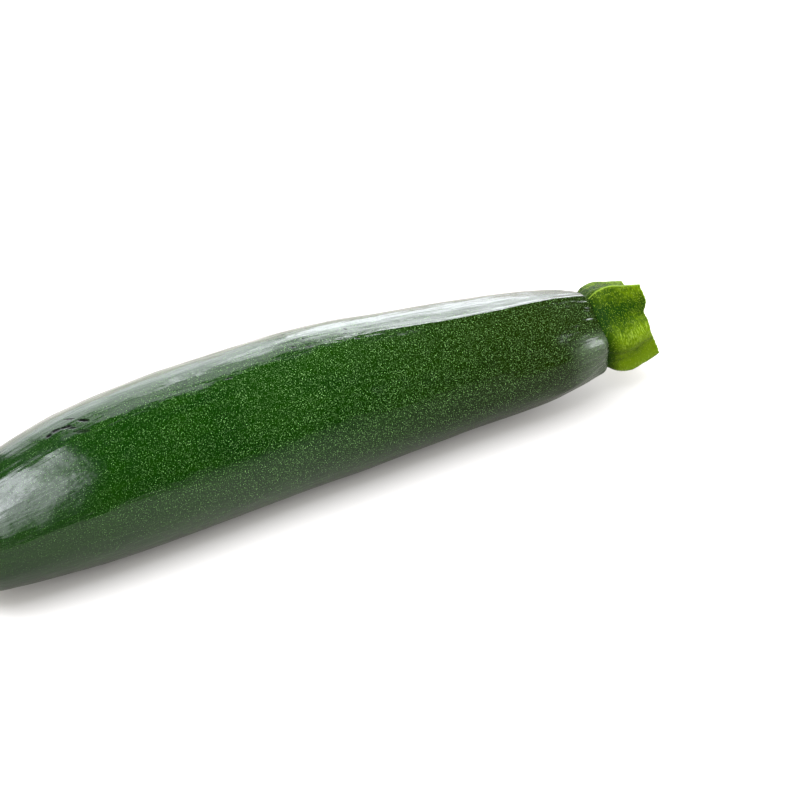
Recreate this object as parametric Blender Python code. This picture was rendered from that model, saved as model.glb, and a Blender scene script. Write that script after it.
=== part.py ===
"""A whole courgette as picked: its dark green fruit and the pale, five-ridged stub of its stalk.

Metres, +Z up. The courgette lies on the plane z = 0 along X, with the blossom end towards -X and the
stalk towards +X. It bows a little, with the hollow of the bow towards -Y.
"""

import math

import bmesh
import bpy
from mathutils import Matrix, Vector

MM = 0.001

# The fruit, measured along its centreline from the blossom tip
FRUIT_LENGTH = 200 * MM
NOSE_LENGTH = 11 * MM
NOSE_BLUNTNESS = 2.25
NOSE_CROWDING = 1.3
FRUIT_WIDTHS = (
    (0, 27.2),
    (12, 32.4),
    (24, 37.2),
    (42, 42.3),
    (62, 44.1),
    (98, 44.0),
    (119, 43.0),
    (151, 38.1),
    (180, 33.3),
    (192, 29.0),
    (200, 24.8),
)
CENTRE_HEIGHTS = (
    (0, 20.2),
    (42, 21.3),
    (85, 21.15),
    (119, 20.9),
    (151, 19.9),
    (180, 19.7),
    (200, 20.8),
)
BOW_RADIUS = 643 * MM
BOW_MIDDLE = 108 * MM
ORIGIN_SHIFT = Vector((-1.83 * MM, 1.29 * MM, 0))

# The seat that the stalk stands on slants upwards and has a small rounded edge
SEAT_SLANT = math.radians(12)
SEAT_SHARE = 0.2
SEAT_ROUNDING = 0.8 * MM
SEAT_ROUNDING_STEPS = (30, 60, 90)

# Five ribs run the length of the fruit and carry on as the ridges of the stalk
RIB_COUNT = 5
RIB_ANGLE = math.radians(84)
RIB_HEIGHTS = ((0, 0.010), (20, 0.008), (120, 0.010), (160, 0.022), (188, 0.040), (200, 0.060))
RIB_SHARPNESS = ((0, 1.0), (130, 1.1), (185, 2.2), (200, 2.0))

# The corky scar where the flower dropped
SCAR_RIM_RADIUS = 5.0 * MM
SCAR_RIM_WIDTH = 1.1 * MM
SCAR_RIM_HEIGHT = 0.45 * MM
SCAR_DISH_DEPTH = 0.5 * MM

# The stub of the stalk, measured from the fruit's seat
STALK_LENGTH = 15 * MM
STALK_GAP = 0.3 * MM
STALK_DROOP = math.radians(8)
STALK_CREST_RADII = ((0, 12.4), (2.5, 13.6), (6.5, 14.2), (10.5, 12.8), (13.5, 11.7), (15, 11.8))
STALK_VALLEY_DEPTHS = ((0, 0.08), (4, 0.17), (10, 0.22), (15, 0.23))
CUT_SLOPE_UP = math.radians(4)
CUT_SLOPE_ACROSS = math.radians(6)

# No two ridges of the stalk are alike, counted from the top one round the back
RIDGE_STANDS = (0.0 * MM, -0.4 * MM, 0.0 * MM, 0.9 * MM, -0.7 * MM)
RIDGE_TEETH = (1.5 * MM, 0.2 * MM, 0.8 * MM, 1.6 * MM, 0.2 * MM)
RIDGE_SHARPNESS = (2.4, 2.0, 1.7, 1.5, 1.0)
TOOTH_SHARPNESS = 0.9
TOOTH_LATENESS = 3
CUT_DISH_DEPTH = 0.9 * MM
CUT_RINGS = ((0.94, 0.0), (0.72, 0.25), (0.5, 0.8), (0.25, 1.0))

# How finely the surfaces are divided
SIDES = 72
NOSE_RINGS = 14
BODY_RINGS = 36
STALK_SIDES = 70
STALK_RINGS = 12

# Colours of the two finishes, linear
SKIN_COLOUR = (0.012, 0.060, 0.008, 1)
STALK_COLOUR = (0.200, 0.340, 0.030, 1)


def curve_through(stations, at):
    """The value at a place of a smooth curve through (place, value) stations, all in millimetres."""
    places = [place for place, _ in stations]
    values = [value for _, value in stations]
    last = len(stations) - 1
    at = min(max(at, places[0]), places[last])
    i = next(n for n in range(last) if at <= places[n + 1])

    def slope(n):
        before, after = max(n - 1, 0), min(n + 1, last)
        return (values[after] - values[before]) / (places[after] - places[before])

    span = places[i + 1] - places[i]
    t = (at - places[i]) / span
    start = values[i] * (1 + 2 * t) * (1 - t) ** 2 + slope(i) * span * t * (1 - t) ** 2
    end = values[i + 1] * t * t * (3 - 2 * t) + slope(i + 1) * span * t * t * (t - 1)
    return start + end


def crest(angle, sharpness):
    """1 on each of the five crests and 0 half way between them."""
    return ((1 + math.cos(RIB_COUNT * angle)) / 2) ** sharpness


def centreline(s):
    """Matrix whose X runs along the fruit at s, whose -Y faces the hollow of the bow, and Z is up.

    Over the last part before the stalk its X turns upwards, until it is square to the slanting seat.
    """
    turn = (s - BOW_MIDDLE) / BOW_RADIUS
    height = curve_through(CENTRE_HEIGHTS, s / MM) * MM
    place = Vector((BOW_RADIUS * math.sin(turn), BOW_RADIUS * (math.cos(turn) - 1), height))
    share = max((s / FRUIT_LENGTH - 1 + SEAT_SHARE) / SEAT_SHARE, 0)
    upwards = Matrix.Rotation(-SEAT_SLANT * share * share, 4, "Y")
    return Matrix.Translation(place + ORIGIN_SHIFT) @ Matrix.Rotation(-turn, 4, "Z") @ upwards


def fruit_radius(s, angle):
    """Radius of the fruit's side, before its ends are rounded."""
    place = s / MM
    ribs = curve_through(RIB_HEIGHTS, place)
    raised = crest(angle - RIB_ANGLE, curve_through(RIB_SHARPNESS, place)) - 0.5
    return curve_through(FRUIT_WIDTHS, place) * MM / 2 * (1 + ribs * raised)


def scar_relief(radius):
    """How far the flower scar stands out of the blossom tip, at a radius from its centre."""
    rim = math.exp(-(((radius - SCAR_RIM_RADIUS) / SCAR_RIM_WIDTH) ** 2))
    dish = max(1 - (radius / SCAR_RIM_RADIUS) ** 2, 0)
    return SCAR_RIM_HEIGHT * rim - SCAR_DISH_DEPTH * dish


def fruit_ring(s, narrowing):
    """One closed ring of points round the fruit."""
    frame = centreline(s)
    ring = []
    for n in range(SIDES):
        angle = 2 * math.pi * n / SIDES
        radius = fruit_radius(s, angle) * narrowing
        out = -scar_relief(radius) if s < NOSE_LENGTH else 0
        ring.append(frame @ Vector((out, -radius * math.cos(angle), radius * math.sin(angle))))
    return ring


def fruit_rings():
    """The rings from the blossom tip to the seat that the stalk stands on."""
    power = 2 / NOSE_BLUNTNESS
    rings = []
    for n in range(1, NOSE_RINGS + 1):
        turn = math.pi / 2 * (n / NOSE_RINGS) ** NOSE_CROWDING
        s = NOSE_LENGTH * (1 - math.cos(turn) ** power)
        rings.append(fruit_ring(s, math.sin(turn) ** power))
    side = FRUIT_LENGTH - SEAT_ROUNDING - NOSE_LENGTH
    for n in range(1, BODY_RINGS + 1):
        rings.append(fruit_ring(NOSE_LENGTH + side * n / BODY_RINGS, 1))
    for degrees in SEAT_ROUNDING_STEPS:
        turn = math.radians(degrees)
        s = FRUIT_LENGTH - SEAT_ROUNDING * (1 - math.sin(turn))
        taken = SEAT_ROUNDING * (1 - math.cos(turn))
        narrowing = 1 - taken / (curve_through(FRUIT_WIDTHS, s / MM) * MM / 2)
        rings.append(fruit_ring(s, narrowing))
    return rings


def ridge_value(values, angle):
    """The value that belongs to an angle round the stalk, eased from each ridge to the next."""
    place = (angle - RIB_ANGLE) / (2 * math.pi) * RIB_COUNT
    before = math.floor(place)
    t = place - before
    share = t * t * (3 - 2 * t)
    return values[before % RIB_COUNT] * (1 - share) + values[(before + 1) % RIB_COUNT] * share


def stalk_radius(along, angle):
    """Radius of the stalk's side: five rounded ridges with hollows between them."""
    place = along / MM
    share = along / STALK_LENGTH
    crest_radius = curve_through(STALK_CREST_RADII, place) * MM + ridge_value(RIDGE_STANDS, angle) * share
    raised = crest(angle - RIB_ANGLE, ridge_value(RIDGE_SHARPNESS, angle))
    return crest_radius * (1 - curve_through(STALK_VALLEY_DEPTHS, place) * (1 - raised))


def stalk_ring(along, narrowing, sunk):
    """One closed ring of points round the stalk.

    The rings are parallel to the seat at the foot of the stalk and lean over steadily towards the
    sloping cut, where the ridges end in short teeth.
    """
    share = along / STALK_LENGTH
    frame = centreline(FRUIT_LENGTH)
    ring = []
    for n in range(STALK_SIDES):
        angle = 2 * math.pi * n / STALK_SIDES
        radius = stalk_radius(along, angle) * narrowing
        y, z = -radius * math.cos(angle), radius * math.sin(angle)
        lean = math.tan(CUT_SLOPE_ACROSS) * y - math.tan(CUT_SLOPE_UP) * z
        tooth = ridge_value(RIDGE_TEETH, angle) * crest(angle - RIB_ANGLE, TOOTH_SHARPNESS)
        x = along - sunk + lean * share + tooth * (share * narrowing) ** TOOTH_LATENESS
        ring.append(frame @ Vector((x, y, z - math.tan(STALK_DROOP) * along)))
    return ring


def stalk_rings():
    """The rings from the face on the fruit's seat, over the cut, to the middle of the cut's dish."""
    rings = []
    for n in range(STALK_RINGS + 1):
        along = STALK_GAP + (STALK_LENGTH - STALK_GAP) * n / STALK_RINGS
        rings.append(stalk_ring(along, 1, 0))
    for narrowing, depth in CUT_RINGS:
        rings.append(stalk_ring(STALK_LENGTH, narrowing, depth * CUT_DISH_DEPTH))
    return rings


def finish(name, colour, roughness):
    """The material of one part."""
    material = bpy.data.materials.new(name)
    material.use_nodes = True
    shader = material.node_tree.nodes["Principled BSDF"]
    shader.inputs["Base Color"].default_value = colour
    shader.inputs["Roughness"].default_value = roughness
    shader.inputs["Metallic"].default_value = 0
    return material


def loft(name, rings, material):
    """A closed body: the first ring is a filled circle, extruded from ring to ring and filled again."""
    shape = bmesh.new()
    loop = bmesh.ops.create_circle(shape, cap_ends=True, segments=len(rings[0]), radius=1)["verts"]
    for vert, point in zip(loop, rings[0]):
        vert.co = point
    edges = list(shape.edges)
    for ring in rings[1:]:
        grown = set(bmesh.ops.extrude_edge_only(shape, edges=edges)["geom"])
        edges = [part for part in grown if isinstance(part, bmesh.types.BMEdge)]
        loop = [next(e.other_vert(v) for e in v.link_edges if e.other_vert(v) in grown) for v in loop]
        for vert, point in zip(loop, ring):
            vert.co = point
    bmesh.ops.contextual_create(shape, geom=edges)
    bmesh.ops.recalc_face_normals(shape, faces=shape.faces)
    mesh = bpy.data.meshes.new(name)
    shape.to_mesh(mesh)
    shape.free()
    mesh.materials.append(material)
    mesh.shade_smooth()
    body = bpy.data.objects.new(name, mesh)
    bpy.context.scene.collection.objects.link(body)
    return body


def cut_foot(body):
    """Planes off what lies below z = 0, which leaves the small flat that the fruit rests on."""
    shape = bmesh.new()
    shape.from_mesh(body.data)
    everything = list(shape.verts) + list(shape.edges) + list(shape.faces)
    cut = bmesh.ops.bisect_plane(
        shape, geom=everything, plane_co=(0, 0, 0), plane_no=(0, 0, 1), clear_inner=True
    )
    rim = [part for part in cut["geom_cut"] if isinstance(part, bmesh.types.BMEdge)]
    bmesh.ops.contextual_create(shape, geom=rim)
    bmesh.ops.recalc_face_normals(shape, faces=shape.faces)
    shape.to_mesh(body.data)
    shape.free()


def main():
    for thing in list(bpy.data.objects):
        bpy.data.objects.remove(thing)
    fruit = loft("fruit", fruit_rings(), finish("waxy green rind", SKIN_COLOUR, 0.35))
    cut_foot(fruit)
    loft("stalk", stalk_rings(), finish("cut green stalk", STALK_COLOUR, 0.6))


main()
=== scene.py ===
"""The looks of a whole courgette as picked: waxy flecked rind, corky flower scar and a ridged stub of stalk.

Metres, +Z up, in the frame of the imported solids: the courgette lies on z = 0 along X, with the blossom end
towards -X and the stalk towards +X. Both skins follow the solids' curves closely, on a finer mesh, and the
root of the stalk's skin runs on inside the fruit.
"""

import logging
import math
import random
from dataclasses import dataclass
from enum import Enum

import bmesh
import bpy
from mathutils import Matrix, Vector, noise


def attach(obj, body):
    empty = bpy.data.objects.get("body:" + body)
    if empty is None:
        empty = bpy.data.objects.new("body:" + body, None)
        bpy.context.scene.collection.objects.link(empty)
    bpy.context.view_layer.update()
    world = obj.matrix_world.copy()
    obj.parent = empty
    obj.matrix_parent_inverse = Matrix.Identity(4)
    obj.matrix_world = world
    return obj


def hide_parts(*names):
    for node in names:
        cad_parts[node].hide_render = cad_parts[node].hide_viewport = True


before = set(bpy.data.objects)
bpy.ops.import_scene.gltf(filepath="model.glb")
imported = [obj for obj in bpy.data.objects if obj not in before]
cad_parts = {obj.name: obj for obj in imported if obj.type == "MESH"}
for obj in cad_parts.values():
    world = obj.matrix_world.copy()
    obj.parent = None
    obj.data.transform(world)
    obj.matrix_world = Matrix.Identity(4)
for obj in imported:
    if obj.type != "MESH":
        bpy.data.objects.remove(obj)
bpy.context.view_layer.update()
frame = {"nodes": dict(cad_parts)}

MM = 0.001
BODY = "root"

# The attributes of the skins that the materials read
SKIN = "skin"
REACH = "reach"
CREST = "crest"

# How close the points of a seam lie that are merged
WELD = 0.001 * MM

# What most values of a noise texture lie between
NOISE_SPAN = (0.3, 0.7)

log = logging.getLogger("courgette")


class Slot(Enum):
    """The finishes that the pieces are grouped by."""

    RIND = "rind"
    STALK = "stalk"


def linear(colour: str) -> tuple[float, float, float, float]:
    """Turns an sRGB hex colour into linear values.

    Args:
        colour: The colour as "#RRGGBB".

    Returns:
        Red, green and blue from 0 to 1 and full opacity, as shaders take them.
    """
    values = [int(colour[place:place + 2], 16) / 255 for place in (1, 3, 5)]
    red, green, blue = (v / 12.92 if v <= 0.04045 else ((v + 0.055) / 1.055) ** 2.4 for v in values)
    return red, green, blue, 1.0


def curve_through(stations: tuple[tuple[float, float], ...], at: float) -> float:
    """Reads a smooth curve through stations, each a place and the value there.

    Args:
        stations: The places in rising order with their values.
        at: The place to read, held between the first and the last.

    Returns:
        The value there.
    """
    places = [place for place, _ in stations]
    values = [value for _, value in stations]
    last = len(stations) - 1
    at = min(max(at, places[0]), places[last])
    i = next(n for n in range(last) if at <= places[n + 1])

    def slope(n: int) -> float:
        """The slope at a station, from its neighbours."""
        before, after = max(n - 1, 0), min(n + 1, last)
        return (values[after] - values[before]) / (places[after] - places[before])

    span = places[i + 1] - places[i]
    t = (at - places[i]) / span
    start = values[i] * (1 + 2 * t) * (1 - t) ** 2 + slope(i) * span * t * (1 - t) ** 2
    end = values[i + 1] * t * t * (3 - 2 * t) + slope(i + 1) * span * t * t * (t - 1)
    return start + end


def smooth_step(low: float, high: float, at: float) -> float:
    """Rises smoothly from 0 at low to 1 at high."""
    t = min(max((at - low) / (high - low), 0), 1)
    return t * t * (3 - 2 * t)


def bell(distance: float, width: float) -> float:
    """A bell curve: 1 at no distance, fading over the width."""
    return math.exp(-((distance / width) ** 2))


def rough(place: Vector, sizes: tuple[float, float]) -> float:
    """Smooth noise from -1 to 1 on the skin, drawn out along the fruit.

    Args:
        place: A point of the skin laid out on a round bar, along X.
        sizes: The noise's size along the fruit and round it.

    Returns:
        The noise's value.
    """
    along, across = sizes
    return noise.noise(Vector((place.x / along, place.y / across, place.z / across)))


def on_bar(along: float, across: float, up: float, radius: float) -> Vector:
    """The place on a plain round bar along X, in a direction across it."""
    return Vector((along, radius * across, radius * up))


def finished(name: str, shape: bmesh.types.BMesh) -> bpy.types.Object:
    """Turns a shape into an object in the scene, and frees the shape.

    Args:
        name: The name of the object and its mesh.
        shape: The shape.

    Returns:
        The object, at the origin, with smooth faces.
    """
    mesh = bpy.data.meshes.new(name)
    shape.to_mesh(mesh)
    shape.free()
    mesh.shade_smooth()
    piece = bpy.data.objects.new(name, mesh)
    bpy.context.scene.collection.objects.link(piece)
    return piece


def aimed(
    name: str, data: bpy.types.ID, place: tuple[float, ...], aim: tuple[float, ...]
) -> bpy.types.Object:
    """Adds a light or a camera to the scene, turned to face a point.

    Args:
        name: The object's name.
        data: The light or the camera.
        place: Where it stands.
        aim: The point that it faces.

    Returns:
        The object.
    """
    thing = bpy.data.objects.new(name, data)
    thing.location = place
    thing.rotation_euler = (Vector(place) - Vector(aim)).to_track_quat("Z", "Y").to_euler()
    bpy.context.scene.collection.objects.link(thing)
    return thing


@dataclass(frozen=True)
class Growth:
    """What the fruit and the stalk share: the bowed centreline and the five ribs.

    Attributes:
        length: The fruit's length along the centreline.
        bow_radius: The radius of its bow.
        bow_middle: The distance from the blossom tip at which the bow runs along X.
        shift: Where that place lies in X and Y.
        heights: The centreline's height by the distance from the blossom tip, in millimetres.
        seat_slant: How far the seat under the stalk slants upwards.
        seat_share: The last share of the length, over which the fruit turns up to it.
        rib_count: The number of ribs.
        rib_angle: The angle of the top rib.
        rib_wander: How many degrees the ribs have turned, by the distance in millimetres.
    """

    length: float = 200 * MM
    bow_radius: float = 643 * MM
    bow_middle: float = 108 * MM
    shift: tuple[float, float] = (-1.83 * MM, 1.29 * MM)
    heights: tuple[tuple[float, float], ...] = (
        (0, 20.2), (42, 21.3), (85, 21.15), (119, 20.9), (151, 19.9), (180, 19.7), (200, 20.8),
    )
    seat_slant: float = math.radians(12)
    seat_share: float = 0.2
    rib_count: int = 5
    rib_angle: float = math.radians(84)
    rib_wander: tuple[tuple[float, float], ...] = (
        (0, 0), (112, 0), (144, -4.5), (168, -6), (190, -1.5), (200, 0),
    )

    def centreline(self, s: float) -> Matrix:
        """Places a cross-section of the fruit.

        Args:
            s: The distance along the centreline from the blossom tip.

        Returns:
            A matrix whose X runs along the fruit and whose -Y faces the hollow of the bow.
        """
        turn = (s - self.bow_middle) / self.bow_radius
        place = Vector((
            self.bow_radius * math.sin(turn) + self.shift[0],
            self.bow_radius * (math.cos(turn) - 1) + self.shift[1],
            curve_through(self.heights, s / MM) * MM,
        ))
        share = max((s / self.length - 1 + self.seat_share) / self.seat_share, 0)
        upwards = Matrix.Rotation(-self.seat_slant * share * share, 4, "Y")
        return Matrix.Translation(place) @ Matrix.Rotation(-turn, 4, "Z") @ upwards

    def wander(self, s: float) -> float:
        """How far the ribs have turned round the fruit, by the distance from the blossom tip."""
        return math.radians(curve_through(self.rib_wander, s / MM))

    def crest(self, angle: float, sharpness: float) -> float:
        """1 on each of the five crests and 0 half way between them."""
        return ((1 + math.cos(self.rib_count * (angle - self.rib_angle))) / 2) ** sharpness

    def off_top_rib(self, angle: float) -> float:
        """The turn from the top rib to an angle, between half a turn back and half a turn on."""
        return (angle - self.rib_angle + math.pi) % math.tau - math.pi

    def off_rib(self, angle: float) -> float:
        """The turn from the nearest rib to an angle."""
        step = math.tau / self.rib_count
        return (angle - self.rib_angle + step / 2) % step - step / 2


@dataclass(frozen=True)
class Ring:
    """What one ring of a skin shares all round.

    Attributes:
        frame: The placing of the cross-section.
        along: The distance along the fruit, or along the stalk.
        narrowing: The share of the full radius, under 1 on the ends.
        radius: The full radius here, before ribs or ridges.
        ribs: The height of the ribs, as a share of the radius.
        sharpness: How sharp the crests of the fruit's ribs are.
        wander: How far the ribs have turned here.
        sunk: How far the ring lies below the cut's rim.
    """

    frame: Matrix
    along: float
    narrowing: float
    radius: float
    ribs: float
    sharpness: float = 1.0
    wander: float = 0.0
    sunk: float = 0.0


@dataclass(frozen=True)
class SkinPoint:
    """One point of a skin.

    Attributes:
        place: Where it is.
        skin: Where it would be on a plain round bar along X, which the patterns are laid out on.
        reach: A mask, of the flower scar on the fruit and of the cut face on the stalk.
        crest: 1 on the ribs and 0 in the valleys between them, or 1 on the vessels of the cut face.
    """

    place: Vector
    skin: Vector
    reach: float
    crest: float


class Skin:
    """A closed skin: a grid rolled up along X, with its two ends drawn together and its seam closed."""

    name: str
    sides: int
    rings: int

    def ring(self, share: float) -> Ring:
        """Gives the ring at a share of the way from the first pole to the last."""
        raise NotImplementedError

    def point(self, ring: Ring, angle: float) -> SkinPoint:
        """Gives the point of a ring at an angle."""
        raise NotImplementedError

    def build(self) -> bpy.types.Object:
        """Makes the skin's mesh and object.

        Returns:
            The object, at the origin, with the coordinates, mask and crests as attributes.
        """
        shape = bmesh.new()
        bmesh.ops.create_grid(shape, x_segments=self.sides, y_segments=self.rings, size=0.5)
        skin_layer = shape.verts.layers.float_vector.new(SKIN)
        reach_layer = shape.verts.layers.float.new(REACH)
        crest_layer = shape.verts.layers.float.new(CREST)
        rings = [self.ring(n / self.rings) for n in range(self.rings + 1)]
        seam = []
        for vert in shape.verts:
            turn, share = vert.co.x + 0.5, vert.co.y + 0.5
            point = self.point(rings[round(share * self.rings)], math.tau * turn)
            vert.co = point.place
            vert[skin_layer] = point.skin
            vert[reach_layer] = point.reach
            vert[crest_layer] = point.crest
            if vert.is_boundary:
                seam.append(vert)
        bmesh.ops.remove_doubles(shape, verts=seam, dist=WELD)
        bmesh.ops.recalc_face_normals(shape, faces=shape.faces)
        return finished(self.name, shape)


@dataclass(frozen=True)
class Swelling:
    """A low swelling of the rind, or a dent where its height is negative.

    Attributes:
        place: Its middle, as the distance from the blossom tip and the angle in degrees.
        sizes: How far it reaches along the fruit and round it.
        height: How high it stands.
    """

    place: tuple[float, float]
    sizes: tuple[float, float]
    height: float

    def at(self, s: float, angle: float, bar_radius: float) -> float:
        """Gives its height at a place.

        Args:
            s: The distance along the fruit.
            angle: The angle round it.
            bar_radius: The radius that turns angles into distances.

        Returns:
            The height there.
        """
        off = (angle - math.radians(self.place[1]) + math.pi) % math.tau - math.pi
        return self.height * bell(s - self.place[0], self.sizes[0]) * bell(off * bar_radius, self.sizes[1])


@dataclass
class FruitSkin(Skin):
    """The rind from the blossom tip to the seat under the stalk.

    Its stations are in millimetres from the blossom tip, and the values of widths in millimetres across.
    """

    growth: Growth
    name: str = "fruit_skin"
    sides: int = 300
    rings: int = 320

    # Where the rounded nose, the side and the edge of the seat end, as shares of the rings
    nose_share: float = 0.12
    side_share: float = 0.94
    round_share: float = 0.96
    nose_length: float = 11 * MM
    nose_bluntness: float = 2.25
    nose_crowding: float = 1.3

    # The plain ribbed shape
    widths: tuple[tuple[float, float], ...] = (
        (0, 27.2), (12, 32.4), (24, 37.2), (42, 42.3), (62, 44.1), (98, 44.0),
        (119, 43.0), (151, 38.1), (180, 33.3), (192, 29.0), (200, 24.8),
    )
    rib_heights: tuple[tuple[float, float], ...] = (
        (0, 0.010), (20, 0.008), (120, 0.010), (160, 0.022), (188, 0.040), (200, 0.060),
    )
    rib_sharpness: tuple[tuple[float, float], ...] = ((0, 1.0), (130, 1.1), (185, 2.2), (200, 2.0))
    seat_rounding: float = 2.2 * MM

    # The flower scar: crazed cork in a low rim
    scar_radius: float = 5.0 * MM
    scar_rim_width: float = 1.1 * MM
    scar_rim_height: float = 0.45 * MM
    scar_dish: float = 0.5 * MM
    scar_lobe: float = 0.05
    scar_waver: float = 0.14
    scar_waver_pace: float = 1.6
    scar_fade: tuple[float, float] = (-0.3 * MM, 1.0 * MM)
    cork: float = 0.12 * MM
    cork_sizes: tuple[float, float] = (1.2 * MM, 0.8 * MM)

    # The relief, laid out on a plain round bar: noise, wrinkles along the top, a keel and the seat's creases
    bar_radius: float = 20 * MM
    inset: float = 0.05 * MM
    swell: float = 0.2 * MM
    swell_sizes: tuple[float, float] = (24 * MM, 11 * MM)
    dent: float = 0.09 * MM
    dent_sizes: tuple[float, float] = (7 * MM, 4.5 * MM)
    wrinkle: float = 0.065 * MM
    wrinkle_sizes: tuple[float, float] = (10 * MM, 1.3 * MM)
    low_wrinkle: float = 0.25
    wrinkle_fade: int = 3
    keel: float = 0.38 * MM
    keel_width: float = math.radians(3.2)
    keel_start: float = 114 * MM
    keel_full: float = 160 * MM
    low_keel: float = 0.35
    low_keel_width: float = math.radians(6.4)
    crease: float = 0.42 * MM
    crease_sizes: tuple[float, float] = (6 * MM, 1.5 * MM)
    crease_reach: float = 6 * MM
    shoulder_dip: float = 1.2 * MM
    shoulder_reach: float = 3.5 * MM
    swellings: tuple[Swelling, ...] = (
        Swelling((107 * MM, 96), (9 * MM, 4 * MM), 0.30 * MM),
        Swelling((84 * MM, 90), (6 * MM, 4 * MM), 0.16 * MM),
        Swelling((62 * MM, 88), (8 * MM, 4 * MM), 0.18 * MM),
        Swelling((39 * MM, 90), (7 * MM, 3 * MM), 0.12 * MM),
        Swelling((33 * MM, 72), (5 * MM, 4 * MM), 0.20 * MM),
        Swelling((22 * MM, 50), (4 * MM, 3 * MM), -0.18 * MM),
        Swelling((192.0 * MM, 26), (5 * MM, 4.5 * MM), 0.35 * MM),
        Swelling((196 * MM, 58), (3 * MM, 3 * MM), -0.55 * MM),
        Swelling((188 * MM, -30), (5 * MM, 3 * MM), 0.30 * MM),
    )

    def ring(self, share: float) -> Ring:
        """Gives a ring of the rind.

        Args:
            share: 0 at the blossom tip and 1 in the middle of the seat.

        Returns:
            The ring, from the rounded nose over the side to the flat seat.
        """
        length = self.growth.length
        narrowing = 1.0
        if share < self.nose_share:
            power = 2 / self.nose_bluntness
            turn = math.pi / 2 * (share / self.nose_share) ** self.nose_crowding
            s = self.nose_length * (1 - math.cos(turn) ** power)
            narrowing = math.sin(turn) ** power
        elif share < self.side_share:
            part = (share - self.nose_share) / (self.side_share - self.nose_share)
            s = self.nose_length + (length - self.seat_rounding - self.nose_length) * part
        else:
            turn = min((share - self.side_share) / (self.round_share - self.side_share), 1) * math.pi / 2
            s = length - self.seat_rounding * (1 - math.sin(turn))
            taken = self.seat_rounding * (1 - math.cos(turn))
            narrowing = 1 - taken / self.half_width(s)
            narrowing *= 1 - max((share - self.round_share) / (1 - self.round_share), 0)
        return Ring(
            frame=self.growth.centreline(s),
            along=s,
            narrowing=narrowing,
            radius=self.half_width(s),
            ribs=curve_through(self.rib_heights, s / MM),
            sharpness=curve_through(self.rib_sharpness, s / MM),
            wander=self.growth.wander(s),
        )

    def half_width(self, s: float) -> float:
        """The radius before the ribs, by the distance from the blossom tip."""
        return curve_through(self.widths, s / MM) * MM / 2

    def relief(self, s: float, angle: float, skin: Vector) -> float:
        """How far the rind stands out of the plain ribbed shape.

        Args:
            s: The distance along the fruit.
            angle: The angle round it.
            skin: The same place on the round bar.

        Returns:
            The height of the swellings, wrinkles, keel, creases and dips there.
        """
        to_seat = self.growth.length - s
        near_seat = math.exp(-max(to_seat, 0) / self.crease_reach)
        valley = 1 - self.growth.crest(angle, 1)
        height = self.swell * rough(skin, self.swell_sizes) - self.inset
        height += self.dent * rough(skin, self.dent_sizes)
        top = max(skin.z / self.bar_radius, 0) ** self.wrinkle_fade
        height += self.wrinkle * (self.low_wrinkle + top) * rough(skin, self.wrinkle_sizes)
        keel = bell(self.growth.off_top_rib(angle), self.keel_width)
        keel += self.low_keel * bell(self.growth.off_rib(angle), self.low_keel_width)
        height += self.keel * keel * smooth_step(self.keel_start, self.keel_full, s)
        height += self.crease * near_seat * rough(skin, self.crease_sizes)
        height += sum(swelling.at(s, angle, self.bar_radius) for swelling in self.swellings)
        height -= self.shoulder_dip * valley * math.exp(-max(to_seat, 0) / self.shoulder_reach)
        return height

    def scar_edge(self, angle: float) -> float:
        """The radius of the flower scar at an angle: five faint lobes, unevenly grown."""
        uneven = noise.noise(Vector((math.cos(angle), math.sin(angle), 0)) * self.scar_waver_pace)
        lobes = math.cos(self.growth.rib_count * angle)
        return self.scar_radius * (1 + self.scar_lobe * lobes + self.scar_waver * uneven)

    def scar_relief(self, radius: float, edge: float) -> float:
        """How far the flower scar stands out of the blossom tip.

        Args:
            radius: The distance from its centre.
            edge: Its own radius in that direction.

        Returns:
            The height of its rim, or the depth of its dish.
        """
        rim = bell(radius - edge, self.scar_rim_width)
        dish = max(1 - (radius / edge) ** 2, 0)
        return self.scar_rim_height * rim - self.scar_dish * dish

    def point(self, ring: Ring, angle: float) -> SkinPoint:
        """Gives a point of the rind.

        Args:
            ring: The ring it is on.
            angle: Its angle, 0 towards -Y and a quarter turn at the top.

        Returns:
            The point, no lower than the surface that the fruit lies on.
        """
        across, up = -math.cos(angle), math.sin(angle)
        bar = on_bar(ring.along, across, up, self.bar_radius)
        ribbed = angle - ring.wander
        raised = self.growth.crest(ribbed, ring.sharpness) - 0.5
        plain = ring.radius * (1 + ring.ribs * raised)
        radius = (plain + self.relief(ring.along, ribbed, bar)) * ring.narrowing
        scar, out = 0.0, 0.0
        if ring.along < self.nose_length:
            edge = self.scar_edge(angle)
            scar = 1 - smooth_step(edge + self.scar_fade[0], edge + self.scar_fade[1], radius)
            tip = on_bar(0, across, up, radius)
            out = self.scar_relief(radius, edge) + self.cork * scar * rough(tip, self.cork_sizes) - self.inset
            bar = on_bar(ring.along, across, up, self.bar_radius * ring.narrowing)
        place = ring.frame @ on_bar(-out, across, up, radius)
        place.z = max(place.z, 0)
        return SkinPoint(place, bar, scar, self.growth.crest(ribbed, 1))


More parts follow.
